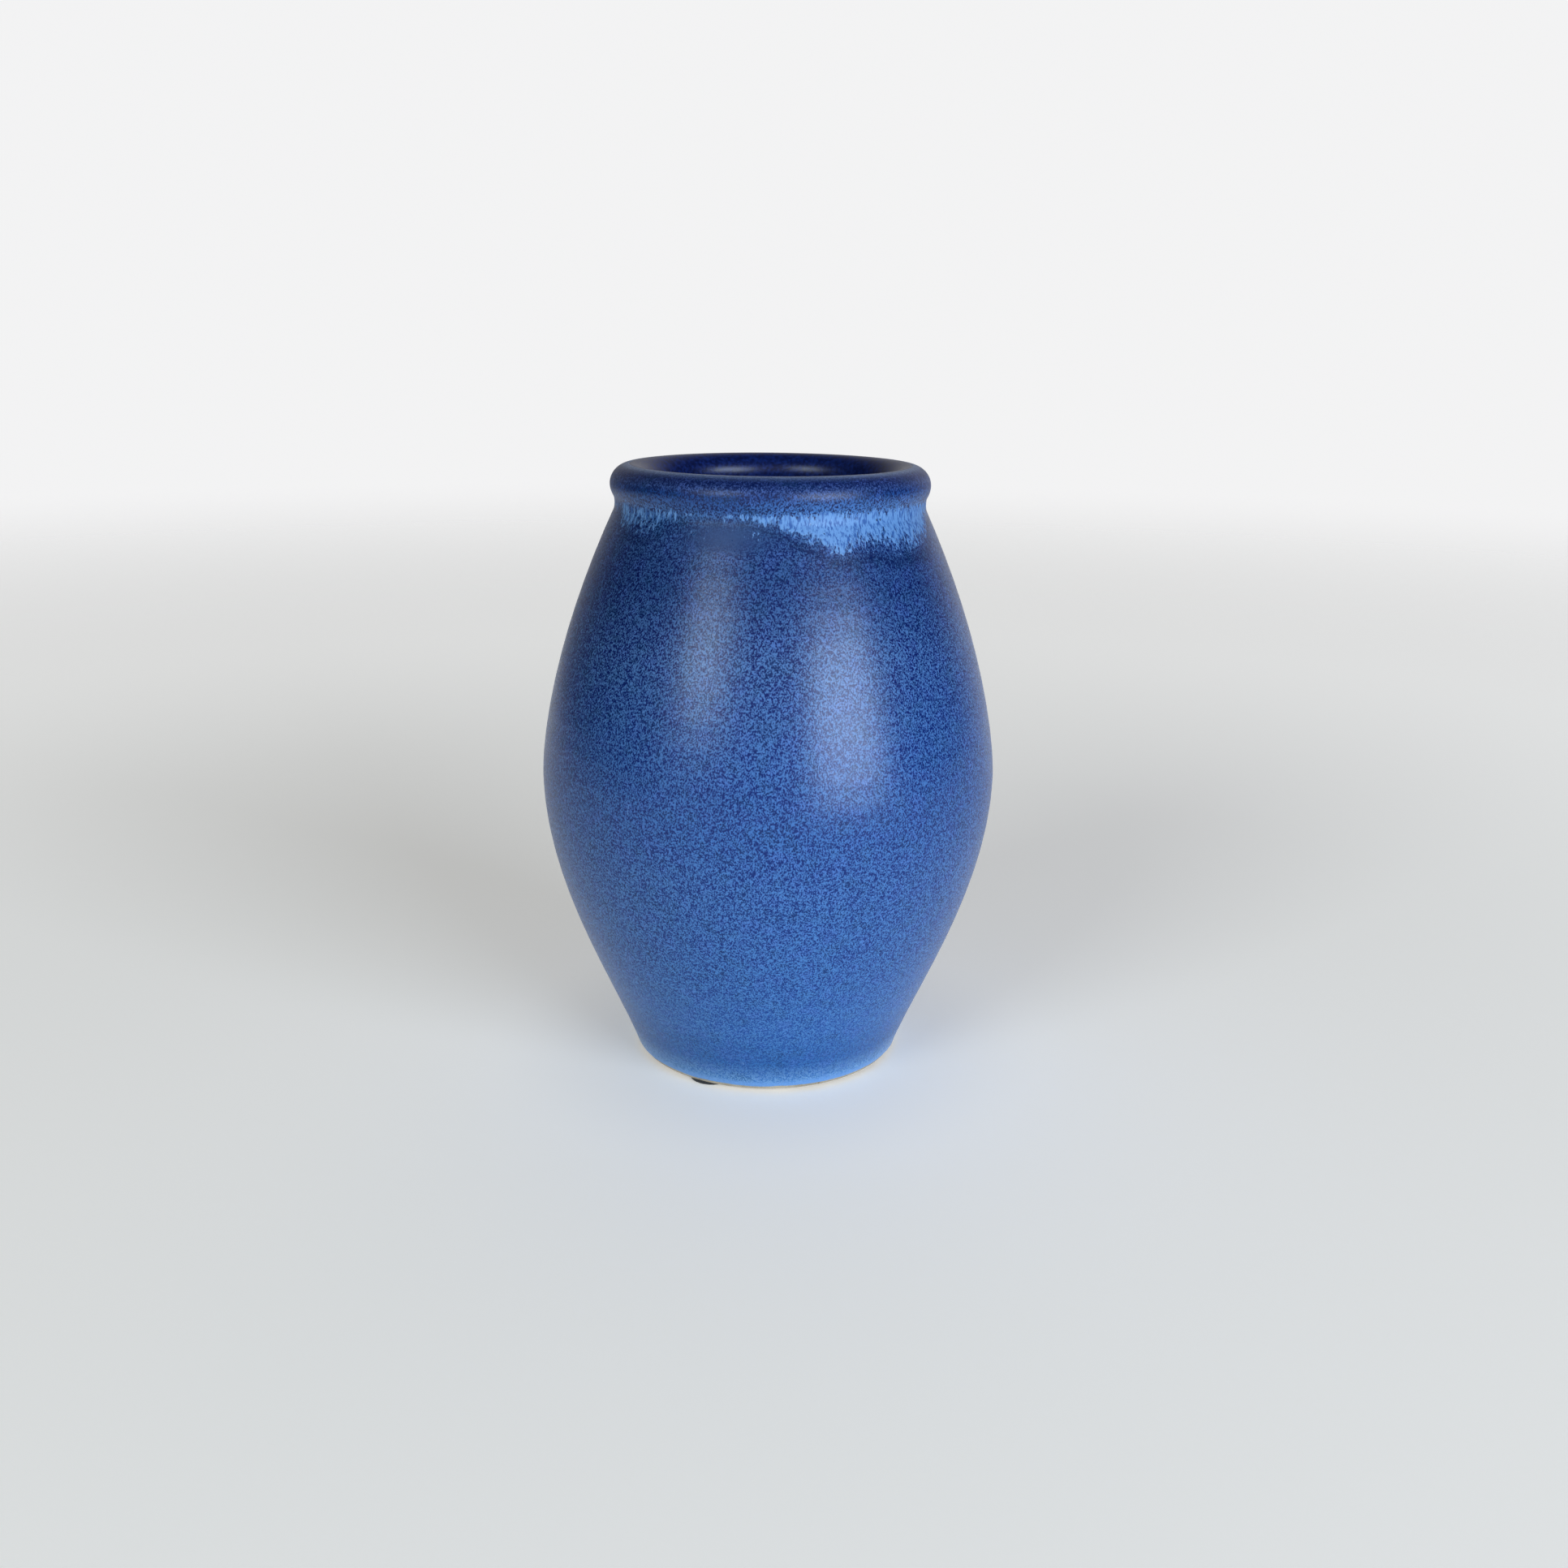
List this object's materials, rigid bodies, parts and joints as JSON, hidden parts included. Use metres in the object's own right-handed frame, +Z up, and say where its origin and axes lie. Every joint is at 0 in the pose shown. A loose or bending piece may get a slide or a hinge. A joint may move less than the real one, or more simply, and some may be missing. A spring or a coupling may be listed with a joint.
{
  "type": "stoneware vase",
  "caption": "Round-bellied stoneware vase with a rolled rim, a wide mouth and a narrower flat foot, glazed in mottled blue.",
  "frame": {"origin": "on the surface that the vase stands on, at the middle of its base", "axes": "+Z up along the vase's axis of turning; -Y towards the side with the first felt pad on its left and the longest glaze run on its right; +X to that side's right"},
  "size_m": [0.151, 0.151, 0.2],
  "materials": {
    "clay": "matte",
    "outer_glaze": "satin",
    "liner_glaze": "satin",
    "felt": "matte"
  },
  "bodies": {
    "root": {"clay_body": "clay", "outer_glaze": "outer_glaze", "liner_glaze": "liner_glaze", "felt_pad_1": "felt", "felt_pad_2": "felt", "felt_pad_3": "felt", "felt_pad_4": "felt"}
  },
  "joints": []
}
